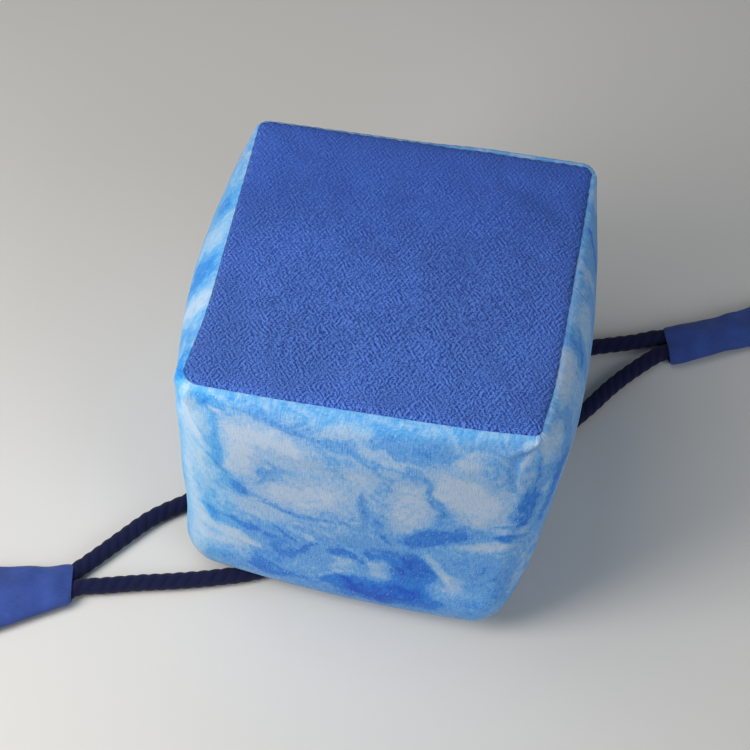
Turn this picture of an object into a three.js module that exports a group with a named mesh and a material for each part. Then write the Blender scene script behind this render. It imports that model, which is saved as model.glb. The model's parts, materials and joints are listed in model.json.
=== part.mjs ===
// Teaware storage bag, millimetres, +Z up.
// A padded cube-shaped drawstring pouch, standing on its drawn mouth with the square base panel on top.
// Origin: the middle of the bag's box, on the surface it stands on. -Y is the front wall.

import * as THREE from "three";

// Driving dimensions
const CLOTH = 3; // padded cloth, through its thickness
const PANEL_HEIGHT = 98; // flat middle of the base panel above the surface
const PANEL_HALF_X = 49;
const PANEL_HALF_Y = 47.9;
const PANEL_CORNER = 2.6;
const CORD = 5.2; // drawcord diameter
const CORD_AXIS = CORD / 2 + 0.05; // height of a cord that lies on the surface
const PANEL_X = 1.7; // middle of the base panel: the bag leans and turns a little below it
const PANEL_Y = -0.7;
const MOUTH_X = 1.3; // middle of the drawn mouth
const MOUTH_Y = -0.9;
const ARCH_ROOF = CORD + 1.4; // the underside arches over every strand that passes below it
const ARCH_TOP = 4; // half width of the arch at its roof
const ARCH_FOOT = 8.5; // half width of the arch at the surface

// Division of each ring: every side has straight steps, then the steps of one corner
const SIDE_STEPS = 16;
const CORNER_STEPS = 8;
const RING = 4 * (SIDE_STEPS + CORNER_STEPS);
const PLEAT_STEPS = 6;
const CORD_SIDES = 10;
const TAB_EDGE_STEPS = 5;
const UP = new THREE.Vector3(0, 0, 1);

// Levels of the wall band's outer face, from the seam down to where it turns under: height, half widths,
// how far a side bows out, corner radius, how far the section has moved over, and its turn in degrees.
const WALL_LEVELS = [
  { z: 96.95, halfX: 49.55, halfY: 48.45, bow: 0.1, corner: 2.9, x: 0, y: 0, turn: 0 },
  { z: 96.5, halfX: 50.4, halfY: 49.3, bow: 0.3, corner: 3.8, x: 0.1, y: -0.4, turn: 0 },
  { z: 95.6, halfX: 50.8, halfY: 49.6, bow: 0.9, corner: 4.6, x: 0.1, y: -0.5, turn: 0 },
  { z: 93.6, halfX: 51.1, halfY: 49.8, bow: 2.1, corner: 5.8, x: -0.2, y: -0.5, turn: 0.2 },
  { z: 89.2, halfX: 51.6, halfY: 49.9, bow: 3.9, corner: 7, x: -0.7, y: -0.3, turn: 0.5 },
  { z: 81.7, halfX: 52.3, halfY: 49.9, bow: 5.7, corner: 8.2, x: -1.5, y: -0.2, turn: 1 },
  { z: 72, halfX: 52.4, halfY: 49.9, bow: 6.2, corner: 8.6, x: -1.7, y: 0, turn: 1.4 },
  { z: 50, halfX: 51.8, halfY: 50.5, bow: 5.8, corner: 8.6, x: -1.6, y: 0.3, turn: -0.6 },
  { z: 26, halfX: 50.3, halfY: 52.9, bow: 4.1, corner: 8.5, x: -1.8, y: 0.5, turn: -2.5 },
  { z: 12, halfX: 48.6, halfY: 54.9, bow: 2.6, corner: 8, x: -2.4, y: 0.7, turn: -4.4 },
];

// The inner edge of the band's rim, which is mitred to the base panel's edge.
const INNER_RIM = { z: 94.2, halfX: 46.75, halfY: 45.65, corner: 1.8 };

// The turn under and the underside: height, how far the edge has come in from the lowest wall level,
// how far the outline has gone from that level to a circle, and the height of the pleats.
const UNDER_LEVELS = [
  { z: 7.5, inset: 1.2, round: 0, pleat: 0 },
  { z: 3.6, inset: 4.5, round: 0, pleat: 0 },
  { z: 0.9, inset: 9.5, round: 0.03, pleat: 0.4 },
  { z: 0, inset: 14, round: 0.08, pleat: 1 },
  { z: 0, inset: 20, round: 0.2, pleat: 1.8 },
  { z: 3.2, inset: 27, round: 0.5, pleat: 2.4 },
  { z: 6.2, inset: 34, round: 1, pleat: 2.2 },
];

// The drawn hem round the mouth, from the underside round and up to the inside: radius, height and pleats.
const HEM_LEVELS = [
  { r: 14.6, z: 3.6, pleat: 0.05 },
  { r: 12.8, z: 1, pleat: 0.06 },
  { r: 9.8, z: 0.6, pleat: 0.07 },
  { r: 7.4, z: 2.6, pleat: 0.08 },
  { r: 6.6, z: 6, pleat: 0.08 },
  { r: 7.6, z: 9.6, pleat: 0.07 },
  { r: 11, z: 11.4, pleat: 0.05 },
];

// Rings of the base panel: how far in from its edge, and the height of its upper and lower face.
const PANEL_TOP = [
  { inset: 0, z: 97.1 },
  { inset: 1, z: 97.65 },
  { inset: 3, z: PANEL_HEIGHT },
];
const PANEL_UNDER = [
  { inset: 2.4, z: PANEL_HEIGHT - CLOTH },
];

// Routes of the drawcord strands along the surface, from the hem to the tab: x and y of each point.
const STRANDS = {
  cord_left_back: [
    [-14.9, -6.6], [-27.2, -10.4], [-40.2, -16.9], [-50.2, -23.4], [-58.7, -29.9],
    [-67.3, -37], [-74.9, -46.3], [-80.7, -53.7], [-85.2, -59.1],
  ],
  cord_left_front: [
    [-10.8, -14.2], [-12.4, -22.9], [-16.2, -33.9], [-22.7, -43.4], [-31.7, -49.7],
    [-42.2, -53.7], [-54.2, -57.3], [-66.2, -60.3], [-76.2, -63.1], [-84, -65.3],
  ],
  cord_right_back: [
    [13.4, 12.4], [18.8, 21.1], [27.8, 32.1], [37.8, 41.6], [48.3, 48.3], [59.2, 52.7],
    [70.5, 56.7], [78.5, 60.1],
  ],
  cord_right_front: [
    [17.5, 4.8], [28.8, 6.6], [40.8, 10.6], [51.3, 17.9], [58.8, 27.4], [65.7, 37.9],
    [72.6, 46.5], [80.2, 54],
  ],
};

// Where each tab starts, the way it points in degrees, and its sections: distance from the mouth,
// width and thickness.
const TABS = {
  tab_left: {
    x: -85.8, y: -63.5, heading: 204,
    sections: [
      { s: 0, width: 12, thick: 6.2 },
      { s: 4, width: 12.8, thick: 6.6 },
      { s: 11, width: 15.6, thick: 6.8 },
      { s: 21, width: 20.6, thick: 6.2 },
      { s: 30, width: 23.6, thick: 5.2 },
      { s: 38, width: 25, thick: 3.8 },
      { s: 42, width: 24.6, thick: 2.4 },
    ],
  },
  tab_right: {
    x: 80.85, y: 57.35, heading: 24,
    sections: [
      { s: 0, width: 12.2, thick: 6.2 },
      { s: 4, width: 12.8, thick: 6.8 },
      { s: 10, width: 12.6, thick: 7 },
      { s: 18, width: 12, thick: 7 },
      { s: 26, width: 12.8, thick: 6.6 },
      { s: 34, width: 17.5, thick: 5.4 },
      { s: 39, width: 20.5, thick: 3.8 },
      { s: 42, width: 20.6, thick: 2.4 },
    ],
  },
};

const MATERIALS = {
  crepe: new THREE.MeshStandardMaterial({ color: 0x3f66b8, roughness: 0.9, metalness: 0 }),
  tieDye: new THREE.MeshStandardMaterial({ color: 0x86b6dd, roughness: 0.88, metalness: 0 }),
  cord: new THREE.MeshStandardMaterial({ color: 0x1c2248, roughness: 0.85, metalness: 0 }),
  tabCloth: new THREE.MeshStandardMaterial({ color: 0x3f66b8, roughness: 0.88, metalness: 0 }),
};

// One rounded square with bowed sides, as RING points, counter-clockwise seen from above.
function outline({ halfX, halfY, bow, corner, x = 0, y = 0, turn = 0 }) {
  const points = [];
  for (let side = 0; side < 4; side += 1) {
    const [along, out] = side % 2 ? [halfY, halfX] : [halfX, halfY];
    for (let step = 0; step < SIDE_STEPS + CORNER_STEPS; step += 1) {
      const straight = Math.min(step / SIDE_STEPS, 1);
      const bend = (Math.max(step - SIDE_STEPS, 0) / CORNER_STEPS) * (Math.PI / 2);
      const u = (along - corner) * (2 * straight - 1) + corner * Math.sin(bend);
      const v = -out + corner * (1 - Math.cos(bend));
      const point = new THREE.Vector2(u, v).rotateAround(new THREE.Vector2(), (side * Math.PI) / 2);
      const bowX = bow * (1 - (point.y / halfY) ** 2) * (point.x / halfX);
      const bowY = bow * (1 - (point.x / halfX) ** 2) * (point.y / halfY);
      points.push(point.add(new THREE.Vector2(bowX, bowY)));
    }
  }
  const centre = new THREE.Vector2(PANEL_X + x, PANEL_Y + y);
  return points.map((p) =>
    p.rotateAround(new THREE.Vector2(), THREE.MathUtils.degToRad(turn)).add(centre));
}

// The strands' straight stretches, as the underside meets them.
const strandLines = Object.values(STRANDS).flatMap((route) =>
  route.slice(1).map((end, i) => new THREE.Line3(
    new THREE.Vector3(...route[i], 0), new THREE.Vector3(...end, 0))));

// Height of the arch over a point, 0 away from the strands.
function archHeight(x, y) {
  const point = new THREE.Vector3(x, y, 0);
  const nearest = new THREE.Vector3();
  const distances = strandLines.map((line) =>
    line.closestPointToPoint(point, true, nearest).distanceTo(point));
  return ARCH_ROOF * (1 - THREE.MathUtils.smoothstep(Math.min(...distances), ARCH_TOP, ARCH_FOOT));
}

// Pleats repeat every PLEAT_STEPS points of a ring: 1 on the fold, 0 on the flat between two folds.
function pleatShape(index) {
  const step = index % PLEAT_STEPS;
  const off = Math.min(step, PLEAT_STEPS - step);
  return [1, 0.6, 0][Math.min(off, 2)];
}

function circle(radius, height) {
  return Array.from({ length: RING }, (_, i) => {
    const angle = ((i - SIDE_STEPS / 2) / RING) * 2 * Math.PI - Math.PI / 2;
    return new THREE.Vector3(
      MOUTH_X + radius(i) * Math.cos(angle), MOUTH_Y + radius(i) * Math.sin(angle), height);
  });
}

const atHeight = (points, z) => points.map((p) => new THREE.Vector3(p.x, p.y, z));

// The smooth ring of one underside level, before its pleats and arches.
function underRing({ z, inset, round }) {
  const lowest = WALL_LEVELS.at(-1);
  const halfX = lowest.halfX - inset;
  const halfY = lowest.halfY - inset;
  const square = atHeight(outline({ ...lowest, halfX, halfY }), z);
  const disc = circle(() => (halfX + halfY) / 2, z);
  return square.map((p, i) => p.lerp(disc[i], round));
}

// How far each point of a ring is lifted by its pleat or by an arch over a cord.
function lifts(ring, pleat) {
  return ring.map((p, i) => Math.max(pleat * pleatShape(i), archHeight(p.x, p.y) - p.z, 0));
}

function raise(ring, amounts) {
  return ring.map((p, i) => p.clone().setZ(p.z + amounts[i]));
}

// The same grid of rings moved inwards by the thickness of the cloth.
function innerFace(rings) {
  return rings.map((ring, k) => ring.map((p, i) => {
    const above = rings[Math.max(k - 1, 0)][i];
    const below = rings[Math.min(k + 1, rings.length - 1)][i];
    const before = ring[(i + RING - 1) % RING];
    const after = ring[(i + 1) % RING];
    const outward = below.clone().sub(above).cross(after.clone().sub(before)).normalize();
    return p.clone().addScaledVector(outward, -CLOTH);
  }));
}

// A closed mesh over rings that each have the same number of points: either the last ring joins the
// first, or the first and the last are covered by a flat cap.
function skin(rings, loops) {
  const size = rings[0].length;
  const points = rings.flat();
  const faces = [];
  const bands = loops ? rings.length : rings.length - 1;
  for (let k = 0; k < bands; k += 1) {
    const upper = k * size;
    const lower = ((k + 1) % rings.length) * size;
    for (let i = 0; i < size; i += 1) {
      const next = (i + 1) % size;
      faces.push(upper + i, lower + i, lower + next, upper + i, lower + next, upper + next);
    }
  }
  if (!loops) {
    [rings[0], rings.at(-1)].forEach((ring, end) => {
      const start = end ? (rings.length - 1) * size : 0;
      const middle = ring.reduce((sum, p) => sum.add(p), new THREE.Vector3()).divideScalar(size);
      points.push(middle);
      for (let i = 0; i < size; i += 1) {
        const edge = [start + i, start + ((i + 1) % size)];
        faces.push(points.length - 1, ...(end ? edge.reverse() : edge));
      }
    });
  }
  const geometry = new THREE.BufferGeometry().setFromPoints(points);
  geometry.setIndex(faces);
  geometry.computeVertexNormals();
  return geometry;
}

function named(name, geometry, material) {
  const mesh = new THREE.Mesh(geometry, material);
  mesh.name = name;
  return mesh;
}

function wallBand() {
  const wall = WALL_LEVELS.map((level) => atHeight(outline(level), level.z));
  const under = UNDER_LEVELS.map(underRing);
  const smooth = [...wall, ...under];
  const raised = [...wall.map((ring) => ring.map(() => 0)),
    ...UNDER_LEVELS.map((level, k) => lifts(under[k], level.pleat))];
  const outer = smooth.map((ring, k) => raise(ring, raised[k]));
  const inner = innerFace(smooth).map((ring, k) => raise(ring, raised[k]));
  inner.splice(0, 4, atHeight(outline({ ...WALL_LEVELS[0], ...INNER_RIM }), INNER_RIM.z));
  const hem = HEM_LEVELS.map(({ r, z, pleat }) => circle((i) => r * (1 + pleat * pleatShape(i)), z));
  return skin([...outer, ...hem, ...inner.reverse()], true);
}

function basePanel() {
  const ring = ({ inset, z }) => atHeight(outline({
    halfX: PANEL_HALF_X - inset, halfY: PANEL_HALF_Y - inset, bow: WALL_LEVELS[0].bow,
    corner: PANEL_CORNER - inset / 3,
  }), z);
  return skin([...PANEL_TOP.map(ring).reverse(), ...PANEL_UNDER.map(ring)], false);
}

function strand(name, route) {
  const path = new THREE.CatmullRomCurve3(
    route.map(([x, y]) => new THREE.Vector3(x, y, CORD_AXIS)), false, "centripetal");
  const section = new THREE.Shape().absarc(0, 0, CORD / 2, 0, 2 * Math.PI, false);
  const steps = Math.round(path.getLength() / (2 * CORD));
  const geometry = new THREE.ExtrudeGeometry(section, {
    steps, curveSegments: CORD_SIDES, extrudePath: path,
  });
  return named(name, geometry, MATERIALS.cord);
}

// A cloth tab lies flat: each section is two straight runs joined by half-round edges.
function tab(name, { x, y, heading, sections }) {
  const axis = new THREE.Vector3(1, 0, 0).applyAxisAngle(UP, THREE.MathUtils.degToRad(heading));
  const across = new THREE.Vector3().crossVectors(axis, UP);
  const rings = sections.map(({ s, width, thick }) => {
    const ring = [];
    for (const side of [1, -1]) {
      for (let step = 0; step <= TAB_EDGE_STEPS; step += 1) {
        const angle = (step / TAB_EDGE_STEPS - 0.5) * Math.PI;
        const out = side * ((width - thick) / 2 + (thick / 2) * Math.cos(angle));
        const up = (thick / 2) * (1 + side * Math.sin(angle));
        ring.push(new THREE.Vector3(x, y, up).addScaledVector(axis, s).addScaledVector(across, out));
      }
    }
    return ring;
  });
  return named(name, skin(rings, false), MATERIALS.tabCloth);
}

const bag = new THREE.Group();
bag.add(named("base_panel", basePanel(), MATERIALS.crepe));
bag.add(named("wall_band", wallBand(), MATERIALS.tieDye));
for (const [name, route] of Object.entries(STRANDS)) bag.add(strand(name, route));
for (const [name, shape] of Object.entries(TABS)) bag.add(tab(name, shape));

export default bag;
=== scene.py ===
"""The teaware storage bag's cloth, drawcords and light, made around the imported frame.

The bag stands upside down on its drawn mouth: the crepe base panel is on top, the tie-dyed band runs down
from its seam and is gathered underneath, and two pairs of drawcord strands run out to folded cloth tabs.
Lengths are in millimetres and turns in degrees, unless said otherwise, and MM turns a length into metres.
"""

import json
import math

import bmesh
import bpy
import numpy as np
from bpy.props import FloatProperty, FloatVectorProperty, PointerProperty
from mathutils import Matrix, Vector, noise

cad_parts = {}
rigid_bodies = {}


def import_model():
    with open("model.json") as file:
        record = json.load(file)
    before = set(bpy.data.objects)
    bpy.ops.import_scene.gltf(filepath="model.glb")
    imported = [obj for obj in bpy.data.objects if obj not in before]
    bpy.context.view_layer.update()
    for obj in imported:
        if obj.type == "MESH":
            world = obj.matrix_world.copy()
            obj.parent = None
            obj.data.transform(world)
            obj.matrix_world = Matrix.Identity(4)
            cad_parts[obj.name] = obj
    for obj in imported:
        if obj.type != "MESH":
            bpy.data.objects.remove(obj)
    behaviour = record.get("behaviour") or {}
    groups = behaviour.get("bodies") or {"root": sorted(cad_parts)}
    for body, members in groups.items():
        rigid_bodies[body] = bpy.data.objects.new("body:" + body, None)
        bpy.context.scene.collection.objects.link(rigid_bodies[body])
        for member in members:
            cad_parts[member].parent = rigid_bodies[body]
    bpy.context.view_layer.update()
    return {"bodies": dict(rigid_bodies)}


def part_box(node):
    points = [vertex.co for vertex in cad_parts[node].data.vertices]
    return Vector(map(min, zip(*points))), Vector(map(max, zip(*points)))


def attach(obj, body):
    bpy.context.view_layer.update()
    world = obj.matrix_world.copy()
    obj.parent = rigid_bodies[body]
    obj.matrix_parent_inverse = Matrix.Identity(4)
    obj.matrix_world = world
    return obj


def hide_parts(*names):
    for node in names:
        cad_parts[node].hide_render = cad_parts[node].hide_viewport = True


bl_info = {
    "name": "Teaware storage bag",
    "version": (1, 0, 0),
    "blender": (4, 5, 0),
    "location": "View3D > Sidebar > Teaware bag",
    "description": "Dresses the packed frame of a tie-dyed drawstring bag for teaware",
    "category": "Object",
}

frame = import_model()
MM = 0.001
BODY = next(iter(frame["bodies"]))


def srgb(red, green, blue):
    """A screen colour, from 0 to 255, as the linear one that shaders and lights take."""
    scaled = (channel / 255 for channel in (red, green, blue))
    return tuple(c / 12.92 if c <= 0.04045 else ((c + 0.055) / 1.055) ** 2.4 for c in scaled)


def table(columns, rows):
    """Rows of numbers as dictionaries, by the names of their columns."""
    return [dict(zip(columns.split(), row)) for row in rows]


def by_wall(columns, **walls):
    """A table whose rows also know their wall."""
    return [{"wall": wall, **row} for wall, rows in walls.items() for row in table(columns, rows)]


# ---- sizes

# Levels of the band's outer face, from the seam down to where it turns under: height, half widths, how far
# a side bows out, corner radius, how far the level has moved over, and its turn.
BAND_LEVELS = table("z half_x half_y bow corner x y turn", (
    (96.95, 49.55, 48.45, 0.1, 2.9, 0, 0, 0),
    (96.5, 50.4, 49.3, 0.3, 3.8, 0.1, -0.4, 0),
    (95.6, 50.8, 49.6, 0.9, 4.6, 0.1, -0.5, 0),
    (93.6, 51.1, 49.8, 2.1, 5.8, -0.2, -0.5, 0.2),
    (89.2, 51.6, 49.9, 3.9, 7.0, -0.7, -0.3, 0.5),
    (81.7, 52.3, 49.9, 5.7, 8.2, -1.5, -0.2, 1.0),
    (72.0, 52.4, 49.9, 6.2, 8.6, -1.7, 0, 1.4),
    (50.0, 51.8, 50.5, 5.8, 8.6, -1.6, 0.3, -0.6),
    (26.0, 50.3, 52.9, 4.1, 8.5, -1.8, 0.5, -2.5),
    (12.0, 48.6, 54.9, 2.6, 8.0, -2.4, 0.7, -4.4),
))
INNER_RIM = {"z": 94.2, "half_x": 46.75, "half_y": 45.65, "bow": 0.1, "corner": 1.8}

# The turn under and the underside: height, how far in from the lowest level, how round, and pleat height.
UNDER_LEVELS = table("z inset round pleat", (
    (7.5, 1.2, 0.0, 0.0),
    (3.6, 4.5, 0.0, 0.0),
    (0.9, 9.5, 0.03, 0.4),
    (0.0, 14.0, 0.08, 1.0),
    (0.0, 20.0, 0.2, 1.8),
    (3.2, 27.0, 0.5, 2.4),
    (6.2, 34.0, 1.0, 2.2),
))

# The drawn hem round the mouth, from outside round and up to the inside: radius, height, pleat share.
HEM_LEVELS = table("radius z pleat", (
    (14.6, 3.6, 0.05),
    (12.8, 1.0, 0.06),
    (9.8, 0.6, 0.07),
    (7.4, 2.6, 0.08),
    (6.6, 6.0, 0.08),
    (7.6, 9.6, 0.07),
    (11.0, 11.4, 0.05),
))

PANEL_MIDDLE = (1.7, -0.7)
MOUTH_MIDDLE = (1.3, -0.9)
PLEATS = 16
CLOTH = 3.0  # thickness of the padded band
TAB_CLOTH = 0.6  # thickness of the tabs' cloth
SIDE_WIDTH = 104.0  # cloth along one wall, from corner to corner

# The base panel from its edge inwards: how far in, and the height.
PANEL_LEVELS = ((0.0, 96.7), (0.12, 97.0), (0.5, 97.38), (1.0, 97.64), (1.8, 97.86), (3.0, 98.0))
PANEL_HALF = (49.35, 48.25)
PANEL_CORNER = 2.6
LEAST_CORNER = 0.3
PANEL_UNDER = (2.4, 95.0)

PANEL_CROWN = 1.3  # how far the padded middle stands above the edge
CROWN_FROM = (1.0, 7.0)  # how far in the crown and folds begin, and are whole

# How uneven the cloth lies, in layers: how far, the size of a swell and its seed. Off the panel, along the
# panel's seam, off the band and across the tabs.
PANEL_UNEVEN = ((0.22, 17.0, 1.3), (0.12, 6.5, 5.9))
EDGE_UNEVEN = ((0.28, 9.0, 4.4), (0.16, 0.9, 2.7))
BAND_UNEVEN = ((0.35, 22.0, 3.1), (0.16, 8.0, 7.7))
TAB_UNEVEN = ((0.22, 6.0, 2.9),)
BAND_FADES = ((0.5, 9.0), (88.0, 96.0))  # drops over which the band's comes, and goes

# Soft folds and dimples of the base panel: from and to, half width, and rise (a trough is negative).
PANEL_FOLDS = table("x0 y0 x1 y1 width rise", (
    (27, 37.5, 55, 22.5, 3, -0.6), (40, 42, 50, 33, 6, 0.35), (36, 13, 42, 9.5, 3.4, -0.35),
    (44, 16, 46, 2, 2.6, 0.25), (-21.5, 48, -16, 12, 3.6, -0.25), (7, -12, 20.4, -44, 3, -0.22),
    (-10, 14, 3, 1, 2.6, -0.22), (-41, -6, -34.5, -38, 4.6, -0.5), (-22.5, -38.5, -20.5, -41, 2.8, -0.3),
    (35, -47, 46, -33, 3, 0.4), (11, 46, 17.5, 34, 4, -0.35), (-37, 44, -33, 38, 3.6, -0.3),
))

# How much rounder each corner is at the base seam, and how far below the seam that dies away.
ROUNDER_CORNERS = {"near left": 2.2, "near right": -0.9, "far right": 0.0, "far left": 0.0}
SEAM_REACH = 2.0

# Where the seam's square is pulled out of true: the corner, how far that reaches, and which way it goes.
PULLS = table("x y reach over_x over_y", (
    (-47.6, -48.9, 17, -2, 0.6),
    (51, -48.9, 13, -1.6, 0.9),
))
PULL_DROP = 7.0  # how far below the seam the pull dies away

# Creases of the band, wall by wall: from and to (across from the wall's middle, down from the seam),
# half width, rise (a trough is negative) and how far its middle bends down.
CREASES = by_wall("x0 y0 x1 y1 width rise bend", front=(
    (53, -0.8, 36.5, 10, 1.9, 0.5, 0), (54.5, 2.4, 38, 13.2, 1.9, -0.4, 0),
    (53, 3.5, 49.5, 20, 1.6, 0.45, 0), (43, 7, 43.5, 28, 1.6, -0.45, 0), (-52, 1.5, -44, 20, 2.2, 0.6, 0),
    (-55, 4, -46, 24, 1.4, -0.6, 0), (-48, 2, -41, 11, 1.3, -0.45, 0), (-38, 4, -8, 12.5, 0.9, -0.25, 1),
    (-38, 2.6, -8, 11, 0.9, 0.2, 1), (-38, 14, 12, 30, 2.2, -0.25, 2), (-30, 52, 22, 62, 2.4, -0.3, 3),
    (3, 30, 5, 56, 1.8, -0.3, 0),
), right=(
    (-46, 5, -40, 22, 2, -0.5, 0), (-43, 4, -32, 26, 2, 0.4, 0),
), left=(
    (49, 5, 40, 24, 2, -0.5, 0), (56, 4.6, 30, 4.6, 3.6, 1.3, 0),
), back=(
    (-52, 1.8, 0, 1.4, 1.9, 0.8, 0),
))
CREASE_FADES = ((-0.12, 0.2), (0.6, 1.1))  # shares of its length over which a crease comes, and goes
WALL_MIDDLES = {"left": -SIDE_WIDTH, "front": 0.0, "right": SIDE_WIDTH, "back": 2 * SIDE_WIDTH}

# Routes of the drawcord strands along the surface, from the hem to the tab: x and y of each point.
STRAND_ROUTES = {
    "cord_left_back": (
        (-14.9, -6.6), (-27.2, -10.4), (-40.2, -16.9), (-50.2, -23.4), (-58.7, -29.9),
        (-67.3, -37.0), (-74.9, -46.3), (-80.7, -53.7), (-85.2, -59.1),
    ),
    "cord_left_front": (
        (-10.8, -14.2), (-12.4, -22.9), (-16.2, -33.9), (-22.7, -43.4), (-31.7, -49.7),
        (-42.2, -53.7), (-54.2, -57.3), (-66.2, -60.3), (-76.2, -63.1), (-84.0, -65.3),
    ),
    "cord_right_back": (
        (13.4, 12.4), (18.8, 21.1), (27.8, 32.1), (37.8, 41.6), (48.3, 48.3), (59.2, 52.7),
        (70.5, 56.7), (78.5, 60.1),
    ),
    "cord_right_front": (
        (17.5, 4.8), (28.8, 6.6), (40.8, 10.6), (51.3, 17.9), (58.8, 27.4), (65.7, 37.9),
        (72.6, 46.5), (80.2, 54.0),
    ),
}
CORD_HEIGHT = 2.65
CORD_IN_HEM = 4.0  # how far back under the hem a strand starts
CORD_IN_TAB = (3.0, 7.0)  # how far in the mouth of the tab its last points are
CORD_LANE = 2.65  # how far aside of the tab's middle
CORD_LIFT = 3.1  # and how high
TWIST_LAY = 11.0  # one full turn of the three plies
ARCH_ROOF, ARCH_TOP, ARCH_FOOT = 6.6, 4.0, 8.5  # arch over a strand: height, half width above and below

# Tabs: where the mouth is, the way the tab points, how much its mouth's edge slants (sideways to along), and
# its sections (from the mouth, width, thickness, how far over).
TABS = {
    "tab_left": {
        "place": (-85.8, -63.5), "heading": 204, "slant": -0.25,
        "sections": ((0, 13.2, 6.4, -1.2), (4, 13.8, 6.8, -1.2), (11, 16, 7, -1), (21, 20.6, 6.4, -0.2),
                     (30, 23.6, 5.2, 0), (38, 25, 3.8, 0), (42, 24.6, 2.4, 0)),
    },
    "tab_right": {
        "place": (80.85, 57.35), "heading": 24, "slant": -0.1,
        "sections": ((0, 14, 6.4, 0.9), (4, 14.2, 6.8, 0.9), (10, 13.8, 7, 0.8), (18, 13, 7, 0.4),
                     (26, 13.2, 6.6, 0), (34, 17.5, 5.4, 0), (39, 20.5, 3.8, 0), (42, 20.6, 2.4, 0)),
    },
}

# How finely the cloth is divided.
SIDE_STEPS = 96
CORNER_STEPS = 28
RING = 4 * (SIDE_STEPS + CORNER_STEPS)
QUARTERS = (3, 0, 1, 2)  # left, front, right, back, as quarter turns from the front


class BagSizes(bpy.types.PropertyGroup):
    """The sizes that a user would change."""

    cord_diameter: FloatProperty(
        name="Cord diameter", description="Thickness of the drawcords over their plies",
        default=2 * (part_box("cord_left_back")[1].z - CORD_HEIGHT * MM), unit="LENGTH")
    pucker: FloatProperty(
        name="Seam pucker", description="How far the stitches draw the cloth in along the base seam",
        default=0.22 * MM, unit="LENGTH")
    pucker_pitch: FloatProperty(
        name="Pucker pitch", description="Distance from one pucker of the base seam to the next",
        default=3.6 * MM, unit="LENGTH")
    lens: FloatProperty(
        name="Lens", description="Focal length of the camera on a 36 mm sensor", default=113.9,
        unit="CAMERA")


def colour_property(name, description, *colour):
    """A colour that a user would change, from its screen colour."""
    return FloatVectorProperty(
        name=name, description=description, default=srgb(*colour), subtype="COLOR", size=3, min=0, max=1)


class BagColours(bpy.types.PropertyGroup):
    """The dyes of the cloths and cords. The crepe's two blues are one dye, lighter on the crinkles as painted
    highlight and darker between them as painted shade.
    """

    # Painted highlight on the crepe's crinkles, and painted shade between them.
    crepe: colour_property("Crepe", "Blue of the base panel's crepe, on its crinkles", 93, 136, 223)
    crepe_painted_shade: colour_property(
        "Crepe shade", "Blue of the base panel's crepe, between its crinkles", 37, 68, 162)
    tab: colour_property("Tab cloth", "Blue of the plain cloth tabs", 50, 72, 138)
    cord: colour_property("Cord", "Navy of the twisted drawcords", 23, 26, 56)
    floor: colour_property("Floor", "Pale floor that the bag stands on", 214, 211, 206)


# ---- shaders

MIXED_COLOUR = 2  # where a Mix node gives its colour


class Signal:
    """A shader socket that takes part in arithmetic: each operator adds its Math node."""

    def __init__(self, finish, socket):
        self.finish = finish
        self.socket = socket

    def _math(self, operation, *values):
        return self.finish.node("Math", {"operation": operation}, dict(enumerate(values)))

    def __add__(self, other):
        return self._math("ADD", self, other)

    def __sub__(self, other):
        return self._math("SUBTRACT", self, other)

    def __rsub__(self, other):
        return self._math("SUBTRACT", other, self)

    def __mul__(self, other):
        return self._math("MULTIPLY", self, other)

    __radd__ = __add__
    __rmul__ = __mul__


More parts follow.
